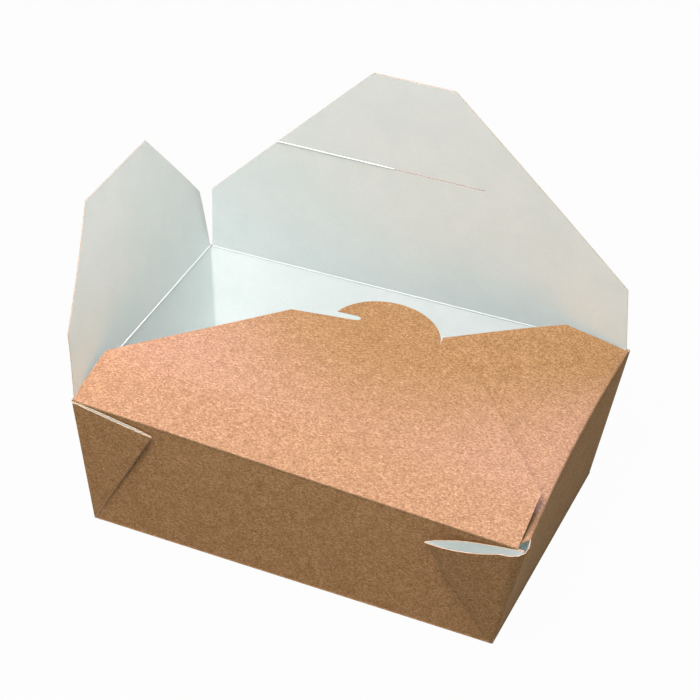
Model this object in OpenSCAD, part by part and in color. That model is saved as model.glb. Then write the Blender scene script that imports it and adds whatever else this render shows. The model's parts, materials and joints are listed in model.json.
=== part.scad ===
// Takeaway box folded from one sheet of kraft board, with three of its four
// lid flaps free to swing and the right one tucked in under the front one.
// The origin is the middle of the underside, X runs along the box, Z is up.

/* [Board] */
// Thickness of the coated board
board = 0.45; // [0.3:0.05:0.7]

/* [Box] */
// Length of the base between its creases
base_l = 197; // [150:1:240]
// Width of the base between its creases
base_w = 140; // [110:1:170]
// Height of the rim creases above the table
rim_h = 65; // [45:1:90]
// How far the rim stands out past the base on every side
flare = 10; // [5:0.5:15]

/* [Hinge creases] */
// Clear gap between the top of a wall and the rolled edge of its flap
crease_gap = 0.3; // [0.2:0.05:0.5]
// Distance from the end of a hinge crease to the corner of the rim
crease_inset = 1.2; // [0.8:0.1:2]

/* [Corner webs] */
// Clear space between two layers of a web
web_gap = 0.15; // [0.1:0.05:0.3]
// How far the tip of a web that lies flat stands off its wall
flat_lift = 1; // [0:0.5:3]
// How far the outer layer of a web that lies flat bows out
flat_bow = 1.2; // [0:0.2:3]
// How far the tip of the sprung web stands off its wall
sprung_lift = 6; // [1:0.5:9]
// How far the outer layer of the sprung web bows out
sprung_bow = 6; // [1:0.5:9]

/* [End flaps] */
// Length of the short side of an end flap
end_side = 30.5; // [20:0.5:40]
// How far that side leans in from the corner
end_inset = 5; // [2:0.5:8]
// Depth of an end flap from crease to free edge
end_depth = 77.5; // [60:0.5:85]
// Length of the free edge of an end flap
end_edge = 66; // [40:1:90]
// Lean of the left flap past upright, outwards
left_lean = 13; // [5:1:30]
// Rise of the right flap beside the front wall
right_rise_front = 1; // [0.5:0.5:1.5]
// Rise of the right flap beside the back wall
right_rise_back = 14; // [6:0.5:15]

/* [Back flap] */
// Length of the short side of the back flap
back_side = 36; // [25:1:45]
// How far that side leans in from the corner
back_inset = 2.5; // [1.5:0.5:6]
// Depth of the back flap from crease to free edge
back_depth = 130; // [115:1:140]
// Length of the free edge of the back flap
back_edge = 41; // [30:1:60]
// Lean of the back flap past upright, inwards
back_lean = 9.5; // [0:0.5:15]
// Distance of the lock slit from the back crease
slit_up = 75; // [60:1:85]
// Length of the lock slit
slit_l = 45; // [35:1:50]
// Width of the lock slit
slit_w = 0.6; // [0.4:0.1:1]
// Shift of the lock slit from the middle, to the right
slit_shift = 12; // [0:0.5:20]
// Depth of the score that runs from the left edge to the slit
score_deep = 0.12; // [0.05:0.01:0.2]

/* [Front flap] */
// Length of the short side of the front flap
front_side = 33; // [25:1:40]
// How far that side leans in from the corner
front_inset = 2.3; // [1.5:0.1:5]
// Depth of the front flap from crease to shoulder
front_depth = 104; // [90:1:110]
// Distance between the two shoulders
front_edge = 98; // [80:1:110]
// Rise of the front flap at its crease, in degrees
front_rise = 17; // [14:1:20]
// Length that keeps this rise
rise_l = 22; // [15:1:30]
// Radius of the soft bend that follows
bend_r = 70; // [50:5:80]
// Slope of the rest of the front flap, in degrees
front_slope = 0.6; // [0:0.1:2]
// Slope of the edge from a shoulder up to the tongue, in degrees
gable = 18; // [12:1:22]

/* [Tongue] */
// Radius of the round tongue
tongue_r = 27; // [22:0.5:30]
// Shift of the tongue from the middle, to the left
tongue_shift = 3.5; // [0:0.5:6]
// Height of the tongue's centre above the shoulders
tongue_up = 6; // [4:0.5:8]
// Width of the notch under the hook
notch_w = 4; // [3:0.5:5]
// Distance of the notch's round end from the tongue's centre line
notch_in = 16.5; // [14:0.5:18]
// Slope of the hook's underside, in degrees
hook_slope = 12; // [8:1:16]

/* [Hidden] */
$fn = 64;
kraft = "#b98b62";
rim_l = base_l + 2 * flare;
rim_w = base_w + 2 * flare;
floor_z = board / 2;
slant = norm([flare, rim_h - floor_z]);
lean = atan(flare / (rim_h - floor_z));
wall_top = slant - board / 2 - crease_gap;
layer = board + web_gap;
roll_d = layer + board;

// Corner of the box at the front right: base, rim and the fold line between
corner_base = [base_l / 2, -base_w / 2, floor_z];
corner_rim = [rim_l / 2, -rim_w / 2, rim_h];
edge_l = norm(corner_rim - corner_base);
wall_out = [0, -cos(lean), -sin(lean)];
wall_up = [0, -sin(lean), cos(lean)];
side_angle = atan(flare / slant);
// The web is cut to fill a quarter turn between two walls, and is folded in half
tip_angle = 45 - 2 * side_angle;
web_tip = corner_base + edge_l * (cos(tip_angle) * wall_up + sin(tip_angle) * [-1, 0, 0]);
web_start = 0.03;
web_steps = 12;
fold_sides = 8;
fold_fill = 0.96;

function mix(a, b, s) = a + (b - a) * s;
function unit(v) = v / norm(v);
function clamp_to(i, last) = max(0, min(i, last));

// Front flap along its section: how far in and how far up a point of it lies
bend_turn = front_rise - front_slope;
bend_l = bend_r * bend_turn * PI / 180;
bend_steps = 16;
rise_end = rise_l * [cos(front_rise), sin(front_rise)];
function flap_dir(a) = [cos(a), sin(a)];
function bend_at(a) =
    rise_end + bend_r * [sin(front_rise) - sin(a), cos(a) - cos(front_rise)];
function section_at(s) =
    s < rise_l ? s * flap_dir(front_rise) :
    s < rise_l + bend_l ? bend_at(front_rise - (s - rise_l) / bend_r * 180 / PI) :
    bend_at(front_slope) + (s - rise_l - bend_l) * flap_dir(front_slope);
function section_angle(s) =
    s < rise_l ? front_rise :
    s < rise_l + bend_l ? front_rise - (s - rise_l) / bend_r * 180 / PI :
    front_slope;
section_l = front_depth + tongue_up + tongue_r + 5;
section_stops = concat([0], [for (i = [0:bend_steps]) rise_l + bend_l * i / bend_steps], [section_l]);
function section_side(side) = [
    for (s = section_stops)
        section_at(s) + side * board / 2 * [-sin(section_angle(s)), cos(section_angle(s))]
];

// Thin sheet over a grid of points that lie in the middle of the board
module sheet(grid) {
    rows = len(grid);
    cols = len(grid[0]);
    points = [for (side = [1, -1]) for (r = [0:rows - 1]) for (c = [0:cols - 1])
        let (down = grid[clamp_to(r + 1, rows - 1)][c] - grid[clamp_to(r - 1, rows - 1)][c])
        let (along = grid[r][clamp_to(c + 1, cols - 1)] - grid[r][clamp_to(c - 1, cols - 1)])
        grid[r][c] + side * board / 2 * unit(cross(along, down))];
    back = rows * cols;
    cells = [for (r = [0:rows - 2]) for (c = [0:cols - 2]) r * cols + c];
    top = [for (a = cells) each [[a, a + cols, a + 1], [a + 1, a + cols, a + cols + 1]]];
    bottom = [for (f = top) [f[2] + back, f[1] + back, f[0] + back]];
    rim = concat(
        [for (c = [0:cols - 2]) c],
        [for (r = [0:rows - 2]) r * cols + cols - 1],
        [for (c = [cols - 1:-1:1]) (rows - 1) * cols + c],
        [for (r = [rows - 1:-1:1]) r * cols]);
    around = [for (i = [0:len(rim) - 1])
        let (a = rim[i], b = rim[(i + 1) % len(rim)])
        each [[a, b, b + back], [a, b + back, a + back]]];
    polyhedron(points, concat(top, bottom, around));
}

// Rod from one point to another, for a fold that the board turns round.
// It is an eight-sided bar a little under the size of the fold it fills.
module rod(from, to, d) {
    way = to - from;
    translate(from)
        rotate([0, acos(way[2] / norm(way)), atan2(way[1], way[0])])
            cylinder(d = fold_fill * d, h = norm(way), $fn = fold_sides);
}

// Flat piece of board with its outline in X and Y
module panel(outline) {
    linear_extrude(board, center = true)
        polygon(outline);
}

// Hinge edge of a flap: the board rolls round the crease
module crease_roll(length) {
    rotate([0, 90, 0])
        cylinder(d = board, h = length, center = true);
}

// Wall that leans outwards from the base crease in front
module wall(low, high, top, base_at) {
    translate([0, -base_at, floor_z])
        rotate([90 + lean, 0, 0])
            panel([
                [-low / 2, 0],
                [low / 2, 0],
                [mix(low, high, top / slant) / 2, top],
                [-mix(low, high, top / slant) / 2, top]
            ]);
}

// Point on the lip of a web, from the rim corner at 0 to the tip at 1
function lip(s, off, lift, bow) =
    mix(corner_rim, web_tip, s) + wall_out * (off + lift * s * s + bow * 4 * s * (1 - s));

module web_layer(off, lift, bow) {
    sheet([for (start = [web_start, 1])
        [for (i = [0:web_steps])
            mix(corner_base, lip(i / web_steps, off, lift, bow), start)]]);
}

// Corner web of two layers that lie one over the other outside the wall
module corner_web(lift, bow) {
    fold = lip(0, layer / 2, 0, 0);
    crease = lip(1, 1.5 * layer, lift, 0);
    edge = lip(0, 2 * layer, 0, 0);
    web_layer(layer, lift, 0);
    web_layer(2 * layer, lift, bow);
    rod(mix(corner_base, fold, web_start), fold, roll_d);
    rod(mix(corner_base, crease, web_start), crease, roll_d);
    rod(mix(corner_base, edge, web_start), edge, board);
}

// Half of an end flap's width at a distance from its crease
function end_half(v) =
    v < end_side
        ? mix(rim_w / 2 - crease_inset, rim_w / 2 - end_inset, v / end_side)
        : mix(rim_w / 2 - end_inset, end_edge / 2, (v - end_side) / (end_depth - end_side));

// The right flap is held down by the front flap and springs up towards the back
function right_rise(y) =
    mix(right_rise_front, right_rise_back, pow((y + rim_w / 2) / rim_w, 2));

module right_flap() {
    stops = concat(
        [for (i = [0:2]) end_side * i / 2],
        [for (i = [1:3]) mix(end_side, end_depth, i / 3)]);
    sheet([for (v = stops)
        [for (i = [0:web_steps])
            let (y = end_half(v) * (2 * i / web_steps - 1))
            [rim_l / 2 - v * cos(right_rise(y)), y, rim_h + v * sin(right_rise(y))]]]);
    crease_half = rim_w / 2 - crease_inset;
    rod([rim_l / 2, -crease_half, rim_h], [rim_l / 2, crease_half, rim_h], board);
}

// Base, walls, corner webs and the tucked right flap, folded from one sheet
module tray() {
    side_high = rim_w + 4 * layer;
    base_corners = [for (c = [[-1, -1], [1, -1], [1, 1], [-1, 1]])
        [c[0] * base_l / 2, c[1] * base_w / 2, floor_z]];
    color(kraft) {
        translate([0, 0, floor_z])
            cube([base_l, base_w, board], center = true);
        for (turn = [0, 180])
            rotate([0, 0, turn])
                wall(base_l, rim_l, wall_top, base_w / 2);
        for (i = [0:3])
            rod(base_corners[i], base_corners[(i + 1) % 4], board);
        rotate([0, 0, 90])
            wall(base_w, side_high, slant, base_l / 2);
        rotate([0, 0, -90])
            wall(base_w, side_high, wall_top, base_l / 2);
        corner_web(sprung_lift, sprung_bow);
        mirror([1, 0, 0])
            corner_web(flat_lift, flat_bow);
        mirror([0, 1, 0])
            corner_web(flat_lift, flat_bow);
        rotate([0, 0, 180])
            corner_web(flat_lift, flat_bow);
        right_flap();
    }
}

// Half outline of a flap seen flat, mirrored to the other half
function flap_outline(half, inset, side, edge, depth) = [
    [-half + crease_inset, 0],
    [half - crease_inset, 0],
    [half - inset, side],
    [edge / 2, depth],
    [-edge / 2, depth],
    [-half + inset, side]
];

module left_flap() {
    color(kraft)
        translate([-rim_l / 2, 0, rim_h])
            rotate([0, 0, 90])
                rotate([90 - left_lean, 0, 0]) {
                    panel(flap_outline(rim_w / 2, end_inset, end_side, end_edge, end_depth));
                    crease_roll(rim_w - 2 * crease_inset);
                }
}

// Back flap with the slit that takes the tongue, and a score beside it
module back_flap() {
    slit_left = slit_shift - slit_l / 2;
    color(kraft)
        translate([0, rim_w / 2, rim_h])
            rotate([90 + back_lean, 0, 0]) {
                difference() {
                    panel(flap_outline(rim_l / 2, back_inset, back_side, back_edge, back_depth));
                    translate([slit_left, slit_up - slit_w / 2, -board])
                        cube([slit_l, slit_w, 2 * board]);
                    translate([-rim_l / 2, slit_up - slit_w / 2, board / 2 - score_deep])
                        cube([rim_l / 2 + slit_left, slit_w, board]);
                }
                crease_roll(rim_l - 2 * crease_inset);
            }
}

// Outline of the front flap seen from above, with its round hooked tongue
module front_outline() {
    half = rim_l / 2;
    shoulder = section_at(front_depth)[0];
    apex = (front_edge / 2 - tongue_shift) * tan(gable);
    centre = [-tongue_shift, shoulder + tongue_up];
    end_x = centre[0] - notch_in;
    end_y = shoulder + (front_edge / 2 + end_x) * tan(gable) + notch_w / 2 / cos(gable);
    hook_y = end_y + notch_w / 2 / cos(hook_slope);
    polygon([
        [-half + crease_inset, 0],
        [half - crease_inset, 0],
        [half - front_inset, section_at(front_side)[0]],
        [front_edge / 2, shoulder],
        [-tongue_shift, shoulder + apex],
        [-front_edge / 2, shoulder],
        [-half + front_inset, section_at(front_side)[0]]
    ]);
    difference() {
        translate(centre)
            circle(tongue_r);
        translate([end_x, end_y])
            circle(d = notch_w);
        polygon([
            [end_x, hook_y],
            [end_x - 2 * tongue_r, hook_y - 2 * tongue_r * tan(hook_slope)],
            [end_x - 2 * tongue_r, shoulder - tongue_r],
            [end_x, shoulder - tongue_r]
        ]);
    }
}

module front_flap() {
    color(kraft)
        translate([0, -rim_w / 2, rim_h]) {
            intersection() {
                rotate([90, 0, 90])
                    linear_extrude(rim_l, center = true)
                        polygon(concat(section_side(1), [for (i = [len(section_stops) - 1:-1:0]) section_side(-1)[i]]));
                translate([0, 0, -board])
                    linear_extrude(rim_h)
                        front_outline();
            }
            crease_roll(rim_l - 2 * crease_inset);
        }
}

tray();
front_flap();
left_flap();
back_flap();
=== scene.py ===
import json
import math

import bpy
from mathutils import Matrix, Vector


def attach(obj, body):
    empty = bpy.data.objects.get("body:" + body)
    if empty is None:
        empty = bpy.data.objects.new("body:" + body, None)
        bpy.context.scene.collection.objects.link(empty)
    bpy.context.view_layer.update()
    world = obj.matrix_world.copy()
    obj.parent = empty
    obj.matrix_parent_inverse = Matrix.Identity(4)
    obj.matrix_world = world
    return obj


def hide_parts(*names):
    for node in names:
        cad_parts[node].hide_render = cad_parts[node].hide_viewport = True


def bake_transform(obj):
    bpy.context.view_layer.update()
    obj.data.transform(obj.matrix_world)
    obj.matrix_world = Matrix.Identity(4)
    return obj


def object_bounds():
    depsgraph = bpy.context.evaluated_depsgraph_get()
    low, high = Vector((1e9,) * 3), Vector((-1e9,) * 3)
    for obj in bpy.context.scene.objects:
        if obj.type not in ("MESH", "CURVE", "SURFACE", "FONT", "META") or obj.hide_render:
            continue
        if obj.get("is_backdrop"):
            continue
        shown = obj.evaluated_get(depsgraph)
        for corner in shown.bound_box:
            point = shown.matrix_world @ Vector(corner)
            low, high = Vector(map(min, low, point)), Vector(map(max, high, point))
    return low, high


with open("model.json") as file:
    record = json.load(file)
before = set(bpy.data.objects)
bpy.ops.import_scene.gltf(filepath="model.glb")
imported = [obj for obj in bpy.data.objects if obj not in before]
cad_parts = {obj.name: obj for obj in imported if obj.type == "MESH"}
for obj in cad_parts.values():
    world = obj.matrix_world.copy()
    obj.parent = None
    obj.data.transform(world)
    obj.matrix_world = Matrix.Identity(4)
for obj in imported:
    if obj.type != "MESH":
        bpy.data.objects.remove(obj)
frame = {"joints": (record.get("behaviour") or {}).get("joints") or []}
cad_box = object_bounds()

# %% [markdown]
# # A folded takeaway box
# The box is one sheet of board, brown outside and coated white inside. Its walls lean
# outwards, a folded web fills each corner, and four flaps close the top. Three of the
# flaps swing, so they are pieces of their own; the rest is one piece, as it is folded.
# The frame gives the hinge of each flap, and from these the rim of the box is worked out.

# %% Sizes
MM = 0.001
BOARD = 0.45 * MM
BASE_HALF = (98.5 * MM, 70 * MM)
HINGES = {joint["child"]: joint for joint in frame["joints"]}


def hinge_of(flap):
    """The middle of the hinge of a flap."""
    return Vector(HINGES[flap]["pos_m"])


front_hinge = hinge_of("front_flap")
left_hinge = hinge_of("left_flap")
# A folded box is never quite true. Its rim is a little twisted: two opposite corners
# stand up and two down, and the middle lies a touch above the hinge axes. Seen from
# above it is skewed too: the front lies a little to the right, and the back to the left.
TWIST = 3.1 * MM
SKEW = 1.6 * MM
RIM_H = front_hinge.z + 0.7 * MM
RIM_HALF = (-left_hinge.x, -front_hinge.y)
print("rim", [round(2 * half / MM) for half in RIM_HALF], "mm,", round(RIM_H / MM, 1), "mm up")

# %% [markdown]
# ## Colours and a way to build materials
# A colour is written as it looks on a screen, and one function turns it to the linear
# numbers that Blender works with. Each material is built from nodes by one small function.


# %% Colour and node helpers
def linear(hex_colour):
    """The linear colour of an sRGB hex value, by the standard's own curve."""
    parts = [int(hex_colour[i : i + 2], 16) / 255 for i in (1, 3, 5)]
    return [c / 12.92 if c <= 0.04045 else ((c + 0.055) / 1.055) ** 2.4 for c in parts] + [1]


def add_node(tree, kind, settings=None, values=None, links=None):
    """A new node with its settings, its socket values and the sockets that feed it."""
    node = tree.nodes.new(kind)
    for name, value in (settings or {}).items():
        setattr(node, name, value)
    for name, value in (values or {}).items():
        node.inputs[name].default_value = value
    for name, source in (links or {}).items():
        tree.links.new(source, node.inputs[name])
    return node


def new_material(name):
    """A named material with an empty node tree and its output."""
    material = bpy.data.materials.new(name)
    material.use_nodes = True
    tree = material.node_tree
    tree.nodes.clear()
    return material, tree, add_node(tree, "ShaderNodeOutputMaterial")


# %% [markdown]
# ## Kraft board, the outside
# Kraft paper is made from long unbleached fibres that lie pressed in all directions. The
# eye sees a warm brown with a soft cloud of lighter and darker pulp, short dark and pale
# fibres, and a dull, slightly rough face. Clouds, fibres and grain are noises, each in a
# real size. The fibres are noise stretched along three directions and cut to threads.
# An image of real kraft would show more, but it would have a scale and light of its own.


# %% Kraft material
CLOUD_MM = 5
GRAIN_MM = 1.1
# Real fibres are thinner than a pixel of the picture, so these are drawn several times
# as wide.
FIBRE_MM = 0.5
FIBRE_STRETCH = 0.3
# Which way each kind of fibre lies, and its colour: two dark ones and a pale one
FIBRE_KINDS = (
    ((0.2, 0.3, 0.5), "#7a5638"),
    ((0.9, 0.4, 1.9), "#83593a"),
    ((0.5, 1.2, 2.6), "#dcb28d"),
)
KRAFT_ROUGH = (0.78, 0.92)
KRAFT_BUMP_MM = 0.025


def noise_values(size_mm, detail, rough=0.6):
    """The values of a noise whose features are that many millimetres wide."""
    return {"Scale": 1 / (size_mm * MM), "Detail": detail, "Roughness": rough}


# A pattern's range is spread over another one, softly at both ends.
SOFTLY = {"interpolation_type": "SMOOTHSTEP"}


def spread(start, end, low, high):
    """The values that spread a pattern from start to end over low to high."""
    return {"From Min": start, "From Max": end, "To Min": low, "To Max": high}


def lay_over(tree, pattern, start, end, most, base, colour):
    """Lays a colour over the base as the pattern goes from start to end, at most so much."""
    softened = spread(start, end, 0, most)
    amount = add_node(
        tree, "ShaderNodeMapRange", SOFTLY, softened, {"Value": pattern.outputs["Fac"]}
    )
    # Sockets 6 and 7 of this node are its two colours.
    layers = add_node(
        tree,
        "ShaderNodeMix",
        {"data_type": "RGBA"},
        {7: linear(colour)},
        {0: amount.outputs["Result"]},
    )
    if isinstance(base, str):
        layers.inputs[6].default_value = linear(base)
    else:
        tree.links.new(base, layers.inputs[6])
    return layers.outputs[2]


def fibres(tree, place, turn):
    """Thread-like noise that runs along one direction."""
    turned = add_node(
        tree,
        "ShaderNodeMapping",
        values={"Rotation": turn, "Scale": (FIBRE_STRETCH, 1, 1)},
        links={"Vector": place},
    ).outputs["Vector"]
    return add_node(tree, "ShaderNodeTexNoise", {}, noise_values(FIBRE_MM, 1), {"Vector": turned})


def board_shader(tree, output, colour, sheen, roughness, relief, bump_mm, specular=0.3):
    """Joins a colour to a dull surface. Sheen and relief are the patterns that move it."""
    rough = add_node(
        tree,
        "ShaderNodeMapRange",
        SOFTLY,
        spread(0.3, 0.7, *roughness),
        {"Value": sheen.outputs["Fac"]},
    ).outputs["Result"]
    bump = add_node(
        tree,
        "ShaderNodeBump",
        values={"Strength": 0.6, "Distance": bump_mm * MM},
        links={"Height": relief.outputs["Fac"]},
    )
    surface = add_node(
        tree,
        "ShaderNodeBsdfPrincipled",
        values={"Specular IOR Level": specular, "IOR": 1.45},
        links={"Base Color": colour, "Roughness": rough, "Normal": bump.outputs["Normal"]},
    )
    tree.links.new(surface.outputs["BSDF"], output.inputs["Surface"])


def kraft_board():
    """Brown pulp in clouds, then its dark grain, then the fibres on top."""
    material, tree, output = new_material("kraft_paper_face")
    place = add_node(tree, "ShaderNodeTexCoord").outputs["Object"]
    cloud = add_node(tree, "ShaderNodeTexNoise", {}, noise_values(CLOUD_MM, 3), {"Vector": place})
    pulp_grain = noise_values(GRAIN_MM, 3, rough=0.7)
    grain = add_node(tree, "ShaderNodeTexNoise", {}, pulp_grain, {"Vector": place})
    colour = lay_over(tree, cloud, 0.3, 0.7, 1, "#aa8358", "#ba9165")
    colour = lay_over(tree, grain, 0.38, 0.66, 0.7, colour, "#875f37")
    for turn, shade in FIBRE_KINDS:
        colour = lay_over(tree, fibres(tree, place, turn), 0.58, 0.7, 0.55, colour, shade)
    board_shader(tree, output, colour, grain, KRAFT_ROUGH, grain, KRAFT_BUMP_MM)
    return material


kraft = kraft_board()
print("made", kraft.name)

# %% [markdown]
# ## Coated board, the inside
# The inside carries a thin white coating against grease. It is smoother than the kraft
# and a touch cooler, because a little of the board's grey shows through. Its sheen varies
# softly where rollers and folding pressed it, so a broad noise moves the roughness.


# %% Coated material
PRESSED_MM = 18
COATED_ROUGH = (0.5, 0.62)
COATED_BUMP_MM = 0.02
COATED_SPECULAR = 0.4


def coated_board():
    """A pale coating with soft broad patches and a faint grain."""
    material, tree, output = new_material("coated_board_face")
    place = add_node(tree, "ShaderNodeTexCoord").outputs["Object"]
    patch = add_node(tree, "ShaderNodeTexNoise", {}, noise_values(PRESSED_MM, 2), {"Vector": place})
    grain = add_node(tree, "ShaderNodeTexNoise", {}, noise_values(GRAIN_MM, 2), {"Vector": place})
    colour = lay_over(tree, patch, 0.3, 0.7, 1, "#e3eeed", "#e8f1f0")
    colour = lay_over(tree, grain, 0.35, 0.75, 0.3, colour, "#dbe5df")
    board_shader(
        tree, output, colour, patch, COATED_ROUGH, grain, COATED_BUMP_MM, COATED_SPECULAR
    )
    return material


coated = coated_board()
print("made", coated.name)

# %% [markdown]
# ## The cut edge
# Where the blank is cut, the edge shows raw pulp between the two faces: paler than the
# kraft, a little grey, and furry from the die. It is a thin line in the picture, so its
# one noise is coarse enough to break that line up.


# %% Cut edge material
PULP_MM = 1.5
EDGE_ROUGH = (0.85, 0.95)
EDGE_BUMP_MM = 0.05


def cut_edge():
    """Raw pulp, in clumps wider than the board is thick."""
    material, tree, output = new_material("board_cut_edge")
    place = add_node(tree, "ShaderNodeTexCoord").outputs["Object"]
    pulp = add_node(tree, "ShaderNodeTexNoise", {}, noise_values(PULP_MM, 2), {"Vector": place})
    colour = lay_over(tree, pulp, 0.35, 0.65, 1, "#b79c80", "#cdb79e")
    board_shader(tree, output, colour, pulp, EDGE_ROUGH, pulp, EDGE_BUMP_MM)
    return material


edge = cut_edge()
print("made", edge.name)

# %% [markdown]
# ## A sheet of board
# Every part of the box is flat or gently curved board, so one way of working makes them
# all: a grid is added and laid through rows of points that follow the middle of the
# board. Flat faces could be extruded by hand, but the bows and twists of real board
# would then be missing.


# %% Sheet helpers
# Every piece carries the three materials in this order.
OUTSIDE, INSIDE, CUT = 0, 1, 2


def mix(a, b, share):
    """The value or point that lies that share of the way from a to b."""
    return a + (b - a) * share


def steps(count, start=0.0, end=1.0):
    """Even shares from start to end, both included."""
    return [mix(start, end, i / count) for i in range(count + 1)]


def select_only(*objects):
    """Selects these objects, with the first one active."""
    bpy.ops.object.select_all(action="DESELECT")
    for o in objects:
        o.select_set(True)
    bpy.context.view_layer.objects.active = objects[0]


def in_edit_mode(*operators):
    """Selects the whole mesh in edit mode, and runs operators on it."""
    bpy.ops.object.mode_set(mode="EDIT")
    bpy.ops.mesh.select_all(action="SELECT")
    for operator in operators:
        operator()
    bpy.ops.object.mode_set(mode="OBJECT")


def take_board_materials(obj):
    """Gives an object the kraft, the coating and the cut edge."""
    for material in (kraft, coated, edge):
        obj.data.materials.append(material)


def laid_sheet(name, rows, outward):
    """A grid laid through rows of points. Its first face is turned to look outward."""
    bpy.ops.object.select_all(action="DESELECT")
    bpy.ops.mesh.primitive_grid_add(
        x_subdivisions=len(rows[0]) - 1, y_subdivisions=len(rows) - 1, size=1
    )
    sheet = bpy.context.object
    sheet.name = sheet.data.name = name
    for vertex, point in zip(sheet.data.vertices, [p for row in rows for p in row]):
        vertex.co = point
    sheet.data.update()
    take_board_materials(sheet)
    if sheet.data.polygons[0].normal.dot(Vector(outward)) < 0:
        in_edit_mode(bpy.ops.mesh.flip_normals)
    return sheet


# %% [markdown]
# ## The thickness of the board
# A laid sheet has no thickness yet. A solidify modifier gives it the board's own, half of
# it to each side, with the coating on the inner face and raw pulp on the cut edge. Copying
# and moving each face would do it too, but not evenly round the folds.


# %% Thickness
def apply_modifier(obj, kind, **settings):
    """Adds a modifier with its settings and applies it."""
    select_only(obj)
    modifier = obj.modifiers.new(kind.title(), kind)
    for name, value in settings.items():
        setattr(modifier, name, value)
    bpy.ops.object.modifier_apply(modifier=modifier.name)


def thicken(sheet):
    """Gives a sheet the board's thickness, its coated inner face and its cut edge."""
    apply_modifier(
        sheet,
        "SOLIDIFY",
        thickness=BOARD,
        offset=0,
        use_even_offset=True,
        material_offset=INSIDE,
        material_offset_rim=CUT,
    )
    return sheet


print("board", round(BOARD / MM, 2), "mm thick")

# %% [markdown]
# ## Beads along the creases
# Before board is folded, a blunt rule presses a groove along the crease, and on the inside
# of the fold the board then rises in a small round bead. A thin cylinder along the crease
# gives that bead. Its faces carry the coating where they look inward.


# %% Bead
def bead(name, start, end, radius, inward):
    """The raised roll of board along a crease, coated where it looks inward."""
    way = end - start
    bpy.ops.object.select_all(action="DESELECT")
    bpy.ops.mesh.primitive_cylinder_add(vertices=16, radius=radius, depth=way.length)
    roll = bpy.context.object
    roll.name = roll.data.name = name
    turn = way.to_track_quat("Z", "Y").to_matrix().to_4x4()
    roll.data.transform(Matrix.Translation((start + end) / 2) @ turn)
    take_board_materials(roll)
    for face in roll.data.polygons:
        looks_inward = face.normal.dot(Vector(inward)) > -0.1
        face.material_index = INSIDE if looks_inward else OUTSIDE
        is_end = abs(face.normal.dot(way.normalized())) > 0.9
        if is_end:
            face.material_index = CUT
    return roll


# %% [markdown]
# ## From parts to a piece
# The sheets and beads of a piece are joined, because it is one piece of board. It is then
# shaded smooth, and it is shown in place of its solid, which is hidden.

# %% Finish a piece
# Sharper folds than this stay sharp when a piece is shaded smooth.
SMOOTH_UNDER = math.radians(35)


def finish_piece(name, parts, nodes):
    """Joins parts to one smooth piece that stands for its CAD nodes."""
    select_only(*parts)
    bpy.ops.object.join()
    piece = bpy.context.object
    piece.name = piece.data.name = name
    bpy.ops.object.shade_smooth_by_angle(angle=SMOOTH_UNDER)
    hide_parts(*nodes)
    print(name, len(piece.data.polygons), "faces")
    return piece


# %% [markdown]
# ## Corners of the box
# The walls lean out from the base to the rim. A corner is named by its two sides, minus
# one or plus one along X and along Y, so that one rule gives all eight corners. The
# front and back walls are laid straight between them.


# %% Corners and walls
# The hand-folded box isn't true: the base runs out at its front right corner, and the
# flaps pull the front left corner of the rim up and in.
BASE_SPLAY = Vector((0.4, -2.0, 0)) * MM
LEFT_PULL = Vector((0.5, 1.2, 1.0)) * MM


def base_corner(sx, sy):
    """A corner of the base, at the middle of the board."""
    corner = Vector((sx * BASE_HALF[0], sy * BASE_HALF[1], BOARD / 2))
    return corner + BASE_SPLAY if (sx, sy) == (1, -1) else corner


def rim_corner(sx, sy):
    """A corner of the rim, where two wall creases meet."""
    corner = Vector(
        (sx * RIM_HALF[0] - sy * SKEW, sy * RIM_HALF[1], RIM_H + sx * sy * TWIST)
    )
    return corner + LEFT_PULL if (sx, sy) == (-1, -1) else corner


SLANT = math.hypot(RIM_HALF[1] - BASE_HALF[1], RIM_H)
LEAN = math.atan((RIM_HALF[1] - BASE_HALF[1]) / RIM_H)
# A flap bends on a roll at the rim, so its wall ends just under that roll.
ROLL = 0.5 * MM
UNDER_ROLL = 0.35 * MM
WALL_SHARE = 1 - UNDER_ROLL / SLANT
print("walls", round(SLANT / MM, 1), "mm, leaning", round(math.degrees(LEAN), 1), "degrees")


def long_wall(name, sy):
    """The wall in front, with sy of -1, or at the back, with sy of 1."""
    rows = [
        [
            mix(
                mix(base_corner(-1, sy), base_corner(1, sy), along),
                mix(rim_corner(-1, sy), rim_corner(1, sy), along),
                up,
            )
            for along in steps(24)
        ]
        for up in steps(8, 0, WALL_SHARE)
    ]
    return thicken(laid_sheet(name, rows, (0, sy, 0)))


# %% [markdown]
# ## The folded corner web
# Between an end wall and a long wall the board runs on as a triangle, folded in half and
# laid on the outside of the long wall. Seen from above it goes round the corner, out to
# the tip, and back under itself, with a pocket between its layers. It is laid as one
# sheet: that path along its lip is drawn once, and every point of it runs straight down
# to the corner of the base. On the front right corner the web has sprung open. Two flat
# triangles would be simpler, but then the pocket and the soft turn would be missing.

# %% Corner web
# How far the web's fold leans off the straight way up the wall: half a right angle, less
# twice the slant of the wall's own edge
SIDE_ANGLE = math.atan((RIM_HALF[0] - BASE_HALF[0]) / SLANT)
TIP_ANGLE = math.radians(45) - 2 * SIDE_ANGLE
# From one layer of the web to the next, with a little air between them
LAYER = 0.6 * MM
# The web's layers meet in the corner of the base, so it starts just above that corner.
WEB_START = 0.02
# How far the turn stands proud of the corner, as a share of its width
KNEE_OUT = 0.48
TIP_ROUND = 0.3 * MM
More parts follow.
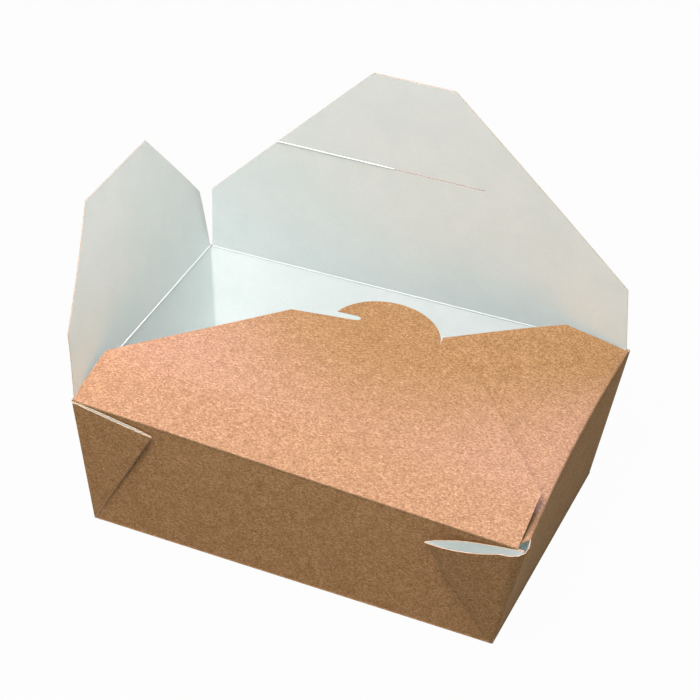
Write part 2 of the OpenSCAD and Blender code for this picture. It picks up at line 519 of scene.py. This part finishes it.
# How far the tip lifts off the wall, how far the outer layer bows, how wide the web turns
# the corner and how far its tip is pulled up
FLAT_WEB = {"lift": 1 * MM, "bow": 1 * MM, "turn": 2 * MM, "rise": 0}
PULLED_WEB = {**FLAT_WEB, "bow": 0.6 * MM, "rise": 3.6 * MM}
SPRUNG_WEB = {"lift": 5 * MM, "bow": 5 * MM, "turn": 10 * MM, "rise": 0.5 * MM}
print("web fold", round(math.degrees(TIP_ANGLE), 1), "degrees off the way up the wall")


def to_corner(point, sx, sy):
    """A point of the front right corner, mirrored to another corner."""
    return Vector((point.x * sx, -point.y * sy, point.z))


def web_lip(sx, sy, lift, bow, turn, rise):
    """The path along a web's lip, worked out for the front right and then mirrored."""
    corner = to_corner(rim_corner(sx, sy), sx, sy)
    base = to_corner(base_corner(sx, sy), sx, sy)
    out = Vector((0, -math.cos(LEAN), -math.sin(LEAN)))
    up = Vector((0, -math.sin(LEAN), math.cos(LEAN)))
    fold_l = math.dist((BASE_HALF[0], BASE_HALF[1], 0), (RIM_HALF[0], RIM_HALF[1], RIM_H))
    tip = base + fold_l * (math.cos(TIP_ANGLE) * up + math.sin(TIP_ANGLE) * Vector((-1, 0, 0)))
    tip.z += rise + sx * sy * TWIST * tip.x / RIM_HALF[0] * tip.z / RIM_H

    def lip(share, layers, bulge, power=2):
        """A point that share of the way to the tip, some layers off the wall."""
        off = layers * LAYER + lift * share**power + bulge * 4 * share * (1 - share)
        return mix(corner, tip, share) + off * out

    length = (tip - corner).length
    turned = turn / length
    start = corner + 2 * LAYER * out + Vector((0, turn, 0))
    # The turn stands proud of the corner, because board can't follow it sharply.
    knee = lip(0, 2, 0) + KNEE_OUT * turn * (out + Vector((1, 0, 0)))
    landing = lip(turned, 2, bow)
    path = [start]
    path += [mix(mix(start, knee, s), mix(knee, landing, s), s) for s in steps(4, 0.2, 1)]
    path += [lip(s, 2, bow) for s in steps(16, turned, 1)[1:]]
    path.append(lip(1, 1.5, 0) + TIP_ROUND * (tip - corner).normalized())
    # The layer on the wall stays down along most of its length.
    path += [lip(s, 1, 0, 4) for s in steps(10, 1, 0)]
    path.append(corner)
    return [to_corner(p, sx, sy) for p in path]


def corner_web(sx, sy, lip):
    """The web of a corner, from the base up to its lip."""
    rows = [[mix(base_corner(sx, sy), p, up) for p in lip] for up in steps(10, WEB_START, 1)]
    return thicken(laid_sheet("web", rows, (sx, 0, 0)))


# Radius of the pale line along a web's fold
WORN = 0.28 * MM


def worn_fold(sx, sy, lip):
    """The pale line along a web's fold, where the bent fibres have cracked."""
    tip = min(lip, key=lambda p: p.x * sx)
    line = bead("worn", mix(base_corner(sx, sy), tip, WEB_START), tip, WORN, (0, 0, 1))
    for face in line.data.polygons:
        face.material_index = CUT
    return line


# %% [markdown]
# ## Base, end walls and the tucked right flap
# The end walls, the base and the right flap are one strip of the blank, so they are laid
# as one sheet from end to end. A bevel modifier rounds its creases before it is
# thickened, because board never folds to a knife edge. The right flap is held down near
# the front, where the front flap lies on it, and springs up towards the back.

# %% Strip from end to end
# An end flap: where its short side ends and how far in, its depth and its free edge
END_SIDE = 31.5 * MM
END_INSET = 5 * MM
END_DEPTH = 77.5 * MM
END_EDGE = 66 * MM
# Each flap's crease ends a little short of the corners.
CREASE_INSET = 1.2 * MM
CREASE_R = 0.8 * MM
# The right flap's slope in degrees, at the front and at the back
RIGHT_RISE = (1.0, 15.5)
RISE_POWER = 2.7
# Its free corner beside the tongue curls up.
CURL = 3.5 * MM
CURL_FROM = 24 * MM
# The right rim is drawn in a little at its middle by the flap that pulls on it.
RIM_DRAW = 2.2 * MM
ACROSS = steps(28, -1, 1)


def end_half(v):
    """Half the width of an end flap at a distance from its crease."""
    side = RIM_HALF[1] - END_INSET
    if v < END_SIDE:
        return mix(RIM_HALF[1] - CREASE_INSET, side, v / END_SIDE)
    return mix(side, END_EDGE / 2, (v - END_SIDE) / (END_DEPTH - END_SIDE))


def end_wall_row(sx, up, front_turn, back_turn):
    """A row across an end wall, up to where its webs turn the corners."""
    ends = []
    for sy, turn in ((-1, front_turn), (1, back_turn)):
        out = Vector((0, sy * math.cos(LEAN), -math.sin(LEAN)))
        top = rim_corner(sx, sy) + 2 * LAYER * out - Vector((0, sy * turn, 0))
        ends.append(mix(base_corner(sx, sy), top, up))
    draw = RIM_DRAW * up**2 if sx > 0 else 0
    return [
        mix(ends[0], ends[1], (s + 1) / 2) - Vector((draw * (1 - s * s), 0, 0)) for s in ACROSS
    ]


def right_flap_row(v):
    """A row across the right flap, at a distance from its crease."""
    row = []
    for s in ACROSS:
        y = s * end_half(v)
        share = (y + RIM_HALF[1]) / (2 * RIM_HALF[1])
        rise = math.radians(mix(*RIGHT_RISE, share**RISE_POWER))
        x = RIM_HALF[0] - SKEW * y / RIM_HALF[1] - RIM_DRAW * (1 - (y / RIM_HALF[1]) ** 2)
        free = min(max((y - CURL_FROM) / (END_EDGE / 2 - CURL_FROM), 0), 1)
        curl = CURL * free**1.5 * (v / END_DEPTH) ** 3
        z = RIM_H + TWIST * y / RIM_HALF[1] + curl
        row.append(Vector((x - v * math.cos(rise), y, z + v * math.sin(rise))))
    return row


def end_strip():
    """Left wall, base, right wall and right flap as one sheet."""
    flat_turn, sprung_turn = FLAT_WEB["turn"], SPRUNG_WEB["turn"]
    base_rows = [
        [mix(base_corner(side, -1), base_corner(side, 1), (s + 1) / 2) for s in ACROSS]
        for side in steps(12, -1, 1)
    ]
    left = [end_wall_row(-1, up, flat_turn, flat_turn) for up in steps(8, WALL_SHARE, 0)]
    right = [end_wall_row(1, up, sprung_turn, flat_turn) for up in steps(8, 0, 1)]
    flap = [right_flap_row(v * END_SIDE) for v in steps(8)[1:]]
    flap += [right_flap_row(mix(END_SIDE, END_DEPTH, v)) for v in steps(12)[1:]]
    strip = laid_sheet("end_strip", left[:-1] + base_rows + right[1:] + flap, (-1, 0, 0))
    apply_modifier(
        strip,
        "BEVEL",
        width=CREASE_R,
        segments=3,
        limit_method="ANGLE",
        angle_limit=math.radians(30),
    )
    return thicken(strip)


# %% [markdown]
# ## The tray as one piece
# Strip, long walls and webs are joined, because they are one folded sheet. Thin rolls
# along the inner creases stand for the beads that a creasing rule raises in the board.
# The tray doesn't move, so it rides its body without bending.

# %% Join the tray
BEAD = 0.45 * MM
# The upright beads stop just short of the rim.
UPRIGHT_SHARE = 0.985


def inner_beads():
    """Beads along the upright corners and the base creases."""
    beads = []
    sides = ((-1, -1), (1, -1), (1, 1), (-1, 1))
    for i, (sx, sy) in enumerate(sides):
        inward = Vector((-sx, -sy, 0.4)).normalized()
        low, high = [c + BEAD * inward for c in (base_corner(sx, sy), rim_corner(sx, sy))]
        beads.append(bead(f"upright_{i}", low, mix(low, high, UPRIGHT_SHARE), BEAD, inward))
        nx, ny = sides[(i + 1) % 4]
        inside = Vector((-(sx + nx), -(sy + ny), 1)).normalized()
        # Lifted, so that the roll doesn't reach below the underside of the base
        lift = Vector((0, 0, BEAD - BOARD / 2))
        start, end = base_corner(sx, sy) + lift, base_corner(nx, ny) + lift
        beads.append(bead(f"base_{i}", start, end, BEAD, inside))
    return beads


parts = [end_strip(), long_wall("front_wall", -1), long_wall("back_wall", 1)]
webs = ((1, -1, SPRUNG_WEB), (-1, -1, PULLED_WEB), (1, 1, FLAT_WEB), (-1, 1, FLAT_WEB))
for sx, sy, form in webs:
    lip = web_lip(sx, sy, **form)
    parts += [corner_web(sx, sy, lip), worn_fold(sx, sy, lip)]
tray = finish_piece("folded_tray", parts + inner_beads(), ["tray"])
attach(tray, "tray")

# %% [markdown]
# ## A flap and its crease
# A flap swings on its hinge, but at its crease the board stays fast to the wall. The rim
# is twisted and so lies a little off the straight hinge, and a stiff flap would tear away
# from it. The board would bend within a few millimetres of the crease; here the flap's
# sheet only has close rows there, and the flap is not bent or swung.


# %% Crease and bend
BEND_ZONE = 5 * MM


def crease_of(start, end):
    """The middle of a crease, and the ways along it, level across it and up from it."""
    along = (end - start).normalized()
    level = Vector((0, 0, 1)).cross(along).normalized()
    return (start + end) / 2, along, level, along.cross(level).normalized()


def crease_roll(crease, along, reach, inward):
    """The roll of board on which a flap bends."""
    return bead("roll", crease - along * reach, crease + along * reach, ROLL, inward)


def bend_at_crease(flap):
    """Bakes the flap's place into its mesh."""
    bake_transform(flap)


# %% [markdown]
# ## The left flap
# An open flap is a sheet that starts at its crease, with two short straight sides and two
# long slanted ones. The left one leans out and is bent in a little at half its height.


# %% Left flap
LEFT_LEAN = math.radians(14)
LEFT_BOW = -1.6 * MM


def leaning_out(start, end, lean):
    """An open flap's crease, and the ways along it, up the flap and out of its back."""
    crease, along, level, upright = crease_of(start, end)
    up = math.cos(lean) * upright + math.sin(lean) * level
    outward = math.cos(lean) * level - math.sin(lean) * upright
    return crease, along, up, outward


def open_flap(place, half, side, depth, bow):
    """The sheet of an open flap, from its crease to its free edge."""
    crease, along, up, outward = place
    distances = steps(8, 0, BEND_ZONE) + steps(7, BEND_ZONE, side)[1:]
    distances += steps(14, side, depth)[1:]
    rows = []
    for v in distances:
        middle = crease + up * v + outward * bow * math.sin(math.pi * v / depth)
        rows.append([middle + along * (s * half(v)) for s in steps(20, -1, 1)])
    return thicken(laid_sheet("flap_sheet", rows, outward))


left_place = leaning_out(rim_corner(-1, -1), rim_corner(-1, 1), LEFT_LEAN)
left_crease, left_along, left_up, left_out = left_place
left_sheet = open_flap(left_place, end_half, END_SIDE, END_DEPTH, LEFT_BOW)
left_roll = crease_roll(left_crease, left_along, RIM_HALF[1] - CREASE_INSET, -left_out)
left_flap = finish_piece("left_lid_flap", [left_sheet, left_roll], ["left_flap"])
bend_at_crease(left_flap)

# %% [markdown]
# ## The back flap
# The back flap is the tall one that closes last. It has been folded before and hasn't
# sprung all the way back, so it leans in over the box. It also bows a little outwards.

# %% Sheet of the back flap
BACK_LEAN = math.radians(-9)
BACK_BOW = 1 * MM
BACK_SIDE = 36 * MM
BACK_INSET = 2.5 * MM
BACK_DEPTH = 129 * MM
BACK_EDGE = 40 * MM


def back_half(v):
    """Half the width of the back flap at a distance from its crease."""
    side = RIM_HALF[0] - BACK_INSET
    if v < BACK_SIDE:
        return mix(RIM_HALF[0] - CREASE_INSET, side, v / BACK_SIDE)
    return mix(side, BACK_EDGE / 2, (v - BACK_SIDE) / (BACK_DEPTH - BACK_SIDE))


back_place = leaning_out(rim_corner(-1, 1), rim_corner(1, 1), BACK_LEAN)
back_crease, back_along, back_up, back_out = back_place
back_sheet = open_flap(back_place, back_half, BACK_SIDE, BACK_DEPTH, BACK_BOW)
print("back flap", round(BACK_DEPTH / MM), "mm deep")

# %% [markdown]
# ## The slit in the back flap
# The tongue of the front flap locks in a slit, which a thin block cuts out of the back
# flap. From the slit to the left edge the board is only creased, so that it can bend
# there, and a bead marks that crease. The slit's walls are painted shade: they take the
# brown kraft instead of the pale pulp of a cut edge, so the slit shows as a dark line.

# %% Slit and score
SLIT_UP = 75 * MM
SLIT_FROM = -10.5 * MM
SLIT_TO = 34.5 * MM
SLIT_W = 0.5 * MM
SCORE_R = 0.4 * MM
# The score's bead is sunk into the inner face, so that only its crown shows.
SCORE_OFF = -BOARD / 3


def on_back(u, v, off=0.0):
    """A point on the back flap: along its crease, up the flap and out of its face."""
    bow = BACK_BOW * math.sin(math.pi * v / BACK_DEPTH)
    return back_crease + back_along * u + back_up * v + back_out * (bow + off)


def cut_with(sheet, block, operation):
    """Cuts a sheet with a block, which leaves its own material on the cut walls."""
    apply_modifier(
        sheet,
        "BOOLEAN",
        operation=operation,
        solver="EXACT",
        object=block,
        material_mode="TRANSFER",
    )
    bpy.data.objects.remove(block)


def slit_block():
    """A thin block that stands across the back flap where its slit is."""
    bpy.ops.object.select_all(action="DESELECT")
    bpy.ops.mesh.primitive_cube_add(size=1)
    block = bpy.context.object
    # Its kraft goes onto the slit's cut walls as painted shade, darker than raw pulp.
    block.data.materials.append(kraft)
    middle = on_back((SLIT_FROM + SLIT_TO) / 2, SLIT_UP)
    turn = Matrix((back_along, back_up, back_along.cross(back_up))).transposed().to_4x4()
    size = Matrix.Diagonal((SLIT_TO - SLIT_FROM, SLIT_W, 6 * BOARD, 1))
    block.data.transform(Matrix.Translation(middle) @ turn @ size)
    return block


cut_with(back_sheet, slit_block(), "DIFFERENCE")
score_start = on_back(-back_half(SLIT_UP), SLIT_UP, SCORE_OFF)
score_end = on_back(SLIT_FROM, SLIT_UP, SCORE_OFF)
score = bead("score", score_start, score_end, SCORE_R, -back_out)
back_roll = crease_roll(back_crease, back_along, RIM_HALF[0] - CREASE_INSET, -back_out)
back_flap = finish_piece("back_lid_flap", [back_sheet, back_roll, score], ["back_flap"])
bend_at_crease(back_flap)

# %% [markdown]
# ## The front flap and its tongue
# The front flap springs up from its crease and then bends over to lie nearly flat. Its
# sheet is laid along that section, wider and longer than needed, and cut afterwards.

# %% Section of the front flap
# It rises straight, bends over, and then runs on with a slight slope.
FRONT_RISE = math.radians(17)
RISE_L = 21 * MM
BEND_R = 65 * MM
FRONT_SLOPE = math.radians(1)
BEND_L = BEND_R * (FRONT_RISE - FRONT_SLOPE)
SECTION_L = 139 * MM
print("front flap bends over", round(BEND_L / MM, 1), "mm")


def section_at(v):
    """How far in and how far up the section lies at a distance from the crease."""

    def bend(angle):
        return (
            RISE_L * math.cos(FRONT_RISE) + BEND_R * (math.sin(FRONT_RISE) - math.sin(angle)),
            RISE_L * math.sin(FRONT_RISE) + BEND_R * (math.cos(angle) - math.cos(FRONT_RISE)),
        )

    if v < RISE_L:
        return v * math.cos(FRONT_RISE), v * math.sin(FRONT_RISE)
    if v < RISE_L + BEND_L:
        return bend(FRONT_RISE - (v - RISE_L) / BEND_R)
    y, z = bend(FRONT_SLOPE)
    rest = v - RISE_L - BEND_L
    return y + rest * math.cos(FRONT_SLOPE), z + rest * math.sin(FRONT_SLOPE)


front_crease, front_along, front_up, front_rise_way = crease_of(
    rim_corner(-1, -1), rim_corner(1, -1)
)
# The front flap itself keeps to the middle of the box.
front_crease.x = 0


def on_front(x, y, z):
    """A point of the front flap from its place along, in and up from the crease."""
    return front_crease + front_along * x + front_up * y + front_rise_way * z


# %% [markdown]
# ## The outline of the front flap
# The flap's free edge is a low gable with the round tongue on its top. On the left a
# rounded notch runs in under the tongue and makes it a hook, which holds in the slit. The
# free edge isn't quite level with the crease in the picture, and lies a little right.

# %% Outline of the front flap
FRONT_SIDE = 32 * MM
FRONT_INSET = 2.3 * MM
FRONT_DEPTH = 101 * MM
FRONT_EDGE = 98 * MM
FRONT_SKEW = 7 * MM
FRONT_SHIFT = 4 * MM
GABLE = math.radians(17.5)
TONGUE_R = 27 * MM
TONGUE_SHIFT = 3.5 * MM
TONGUE_UP = 6 * MM
NOTCH_R = 2 * MM
NOTCH_IN = 16.5 * MM
HOOK_SLOPE = math.radians(12)


def arc(centre, radius, start, end, count):
    """Points on an arc, with its angles in radians."""
    return [
        Vector((centre[0] + radius * math.cos(a), centre[1] + radius * math.sin(a)))
        for a in steps(count, start, end)
    ]


def where_line_leaves(centre, radius, point, way):
    """Angle at which a line, followed from a point inside a circle, leaves it."""
    way = way.normalized()
    near = (point - centre).dot(way)
    across = (point - centre).length_squared - near**2
    exit_point = point + way * (-near + math.sqrt(radius**2 - across))
    return math.atan2(exit_point.y - centre.y, exit_point.x - centre.x)


def tongue_outline():
    """The edge from the right shoulder round the tongue to the left shoulder."""
    half = FRONT_EDGE / 2
    apex = Vector((-TONGUE_SHIFT, (half - TONGUE_SHIFT) * math.tan(GABLE)))
    centre = Vector((-TONGUE_SHIFT, TONGUE_UP))
    right_way = Vector((half, 0)) - apex
    right_end = where_line_leaves(centre, TONGUE_R, apex, right_way)
    notch_x = -TONGUE_SHIFT - NOTCH_IN
    notch = Vector((notch_x, (half + notch_x) * math.tan(GABLE) + NOTCH_R / math.cos(GABLE)))
    hook_way = Vector((-math.cos(HOOK_SLOPE), -math.sin(HOOK_SLOPE)))
    hook_start = notch + NOTCH_R * Vector((-math.sin(HOOK_SLOPE), math.cos(HOOK_SLOPE)))
    hook_end = where_line_leaves(centre, TONGUE_R, hook_start, hook_way) % (2 * math.pi)
    points = [Vector((half, 0))]
    points += arc(centre, TONGUE_R, right_end, hook_end, 48)
    points += arc(notch, NOTCH_R, math.pi / 2 + HOOK_SLOPE, GABLE - math.pi / 2, 12)
    points.append(Vector((-half, 0)))
    return points


def front_outline():
    """The whole outline of the front flap, seen from above."""
    side = section_at(FRONT_SIDE)[0]
    shoulder = section_at(FRONT_DEPTH)[0]
    turn = -math.asin(FRONT_SKEW / FRONT_EDGE)
    cos, sin = math.cos(turn), math.sin(turn)
    tongue = [
        Vector((FRONT_SHIFT + p.x * cos - p.y * sin, shoulder + p.x * sin + p.y * cos))
        for p in tongue_outline()
    ]
    half = RIM_HALF[0]
    return (
        [Vector((-half + CREASE_INSET, 0)), Vector((half - CREASE_INSET, 0))]
        + [Vector((half - FRONT_INSET, side))]
        + tongue
        + [Vector((-half + FRONT_INSET, side))]
    )


print("front flap outline", len(front_outline()), "points")

# %% [markdown]
# ## Cutting the front flap
# The outline is cut like a die cuts the blank: it is drawn as a flat face, extruded to a
# block, and a boolean keeps what lies inside. That gives clean curves round the tongue,
# which a grid of squares could only follow in steps.


# %% Cut the front flap
BLOCK_FROM = -5 * MM
BLOCK_TALL = 60 * MM


def outline_block(points):
    """A tall block with that outline, which stands across the front flap."""
    bpy.ops.object.select_all(action="DESELECT")
    bpy.ops.mesh.primitive_circle_add(vertices=len(points), fill_type="NGON")
    block = bpy.context.object
    for vertex, p in zip(block.data.vertices, points):
        vertex.co = on_front(p.x, p.y, BLOCK_FROM)
    block.data.update()
    block.data.materials.append(edge)
    tall = front_rise_way * BLOCK_TALL

    def raise_block():
        bpy.ops.mesh.extrude_region_move(TRANSFORM_OT_translate={"value": tuple(tall)})
        bpy.ops.mesh.select_all(action="SELECT")
        bpy.ops.mesh.normals_make_consistent(inside=False)

    in_edit_mode(raise_block)
    return block


def section_sheet():
    """The sheet of the front flap before it is cut, with close rows where it bends."""
    distances = steps(8, 0, BEND_ZONE) + steps(6, BEND_ZONE, RISE_L)[1:]
    distances += steps(16, RISE_L, RISE_L + BEND_L)[1:]
    distances += steps(16, RISE_L + BEND_L, SECTION_L)[1:]
    rows = []
    for v in distances:
        y, z = section_at(v)
        rows.append([on_front(s * RIM_HALF[0], y, z) for s in steps(40, -1, 1)])
    return thicken(laid_sheet("flap_sheet", rows, (0, 0, 1)))


front_sheet = section_sheet()
cut_with(front_sheet, outline_block(front_outline()), "INTERSECT")
# The roll is coated where it looks down into the box.
INTO_BOX = (0, 0.6, -0.8)
front_roll = crease_roll(front_crease, front_along, RIM_HALF[0] - CREASE_INSET, INTO_BOX)
front_flap = finish_piece("front_lid_flap", [front_sheet, front_roll], ["front_flap"])
bend_at_crease(front_flap)

# %% [markdown]
# ## Floor and background
# The box stands on a pale floor that fades into white. The camera sees most of the floor
# as pure white, mixed with a little of its lit surface, so the box keeps a faint shadow.
# What lights the box from below is the floor's real grey, which is much darker.


# %% Floor
FLOOR_WHITE = 0.975


def seen_directly(tree):
    """One where the camera sees a surface, straight or in a reflection, and else nought."""
    rays = add_node(tree, "ShaderNodeLightPath")
    return add_node(
        tree,
        "ShaderNodeMath",
        {"operation": "MAXIMUM"},
        links={0: rays.outputs["Is Camera Ray"], 1: rays.outputs["Is Glossy Ray"]},
    ).outputs[0]


def white_floor():
    """A grey paper that looks almost white to the camera."""
    material, tree, output = new_material("white_table_paper")
    seen = seen_directly(tree)
    share = add_node(
        tree, "ShaderNodeMath", {"operation": "MULTIPLY"}, {1: FLOOR_WHITE}, {0: seen}
    )
    paper = add_node(tree, "ShaderNodeBsdfDiffuse", values={"Color": linear("#8c8c8a")})
    white = add_node(tree, "ShaderNodeEmission", values={"Color": (1, 1, 1, 1), "Strength": 1.0})
    both = add_node(tree, "ShaderNodeMixShader", links={0: share.outputs[0]})
    tree.links.new(paper.outputs[0], both.inputs[1])
    tree.links.new(white.outputs[0], both.inputs[2])
    tree.links.new(both.outputs[0], output.inputs["Surface"])
    return material


bpy.ops.object.select_all(action="DESELECT")
bpy.ops.mesh.primitive_plane_add(size=8, location=(0, 0, 0))
floor = bpy.context.object
floor.name = "floor"
floor.data.materials.append(white_floor())
print("made", floor.name)
floor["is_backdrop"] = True

# %% [markdown]
# ## The room around the box
# A pale, slightly green room fills the shadows. The camera sees it as white, and it lights
# the box at less than half of that, so that the walls stay darker than the lid.


# %% World
SKY_LEVEL = 0.4


def studio_world():
    """An even room, brighter to the eye than as a light."""
    world = bpy.data.worlds.new("studio")
    world.use_nodes = True
    tree = world.node_tree
    tree.nodes.clear()
    level = add_node(
        tree,
        "ShaderNodeMapRange",
        values={"To Min": SKY_LEVEL, "To Max": 1.0},
        links={"Value": seen_directly(tree)},
    )
    background = add_node(
        tree,
        "ShaderNodeBackground",
        values={"Color": linear("#f8fff2")},
        links={"Strength": level.outputs["Result"]},
    )
    add_node(tree, "ShaderNodeOutputWorld", links={"Surface": background.outputs[0]})
    return world


bpy.context.scene.world = studio_world()
print("made", bpy.context.scene.world.name)

# %% [markdown]
# ## Light
# The light in the picture is broad and comes from above, from the front and a little from
# the left: the top is bright, the front wall is about half as bright, and the right wall
# is darkest. One large soft box does that. The lid is also paler and pinker towards the
# front than kraft is, like board that reflects a light behind it. A second soft box there
# gives that sheen alone. The open back flap stands before it and keeps it off the tongue.


# %% Soft boxes
def soft_box(name, place, target, size, power, colour):
    """A square lamp of some size in metres and power in watts, turned to a target."""
    bpy.ops.object.select_all(action="DESELECT")
    bpy.ops.object.light_add(type="AREA", location=place)
    lamp = bpy.context.object
    lamp.name = name
    lamp.data.size = size
    lamp.data.energy = power
    lamp.data.color = linear(colour)[:3]
    lamp.rotation_euler = (Vector(place) - Vector(target)).to_track_quat("Z", "Y").to_euler()
    print("made", name, power, "W")
    return lamp


soft_box(
    "key_soft_box",
    place=(-0.08, -0.42, 0.95),
    target=(0, 0, 0.06),
    size=0.5,
    power=12.5,
    colour="#fff6f8",
)
sheen = soft_box(
    "sheen_soft_box",
    place=(-0.15, 0.78, 1.1),
    target=(0, -0.05, 0.07),
    size=0.7,
    power=200,
    colour="#ffc8da",
)
# It lights nothing, and is only reflected.
sheen.visible_diffuse = False
sheen.visible_transmission = False

# %% [markdown]
# ## Camera
# The camera looks down at the box from the right of its front. Its place, its turn and
# its long lens were worked out from the corners of the box in the picture.

# %% Camera
CAMERA_PLACE = (0.35306, -1.02546, 0.82048)
CAMERA_TURN = (55.7179, -3.933, 22.0145)
LENS_MM = 146.97

bpy.ops.object.select_all(action="DESELECT")
bpy.ops.object.camera_add(
    location=CAMERA_PLACE, rotation=[math.radians(angle) for angle in CAMERA_TURN]
)
camera = bpy.context.object
camera.name = "camera"
camera.data.sensor_width = 36
camera.data.lens = LENS_MM
camera.data.shift_x = 0.0062
camera.data.shift_y = -0.0023
camera.data.clip_start = 0.01
bpy.context.scene.camera = camera
bpy.context.scene.view_settings.view_transform = "Standard"
print("camera", round(camera.location.length, 2), "m from the box")

# %% [markdown]
# ## Sizes of both models
# The box around the solids and the box around these pieces are kept side by side. The
# twisted rim makes this one a few millimetres larger.

# %% Write both sizes
visual_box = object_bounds()
for name, box in (("solids", cad_box), ("pieces", visual_box)):
    print(name, [round((high - low) / MM, 1) for low, high in zip(*box)], "mm")
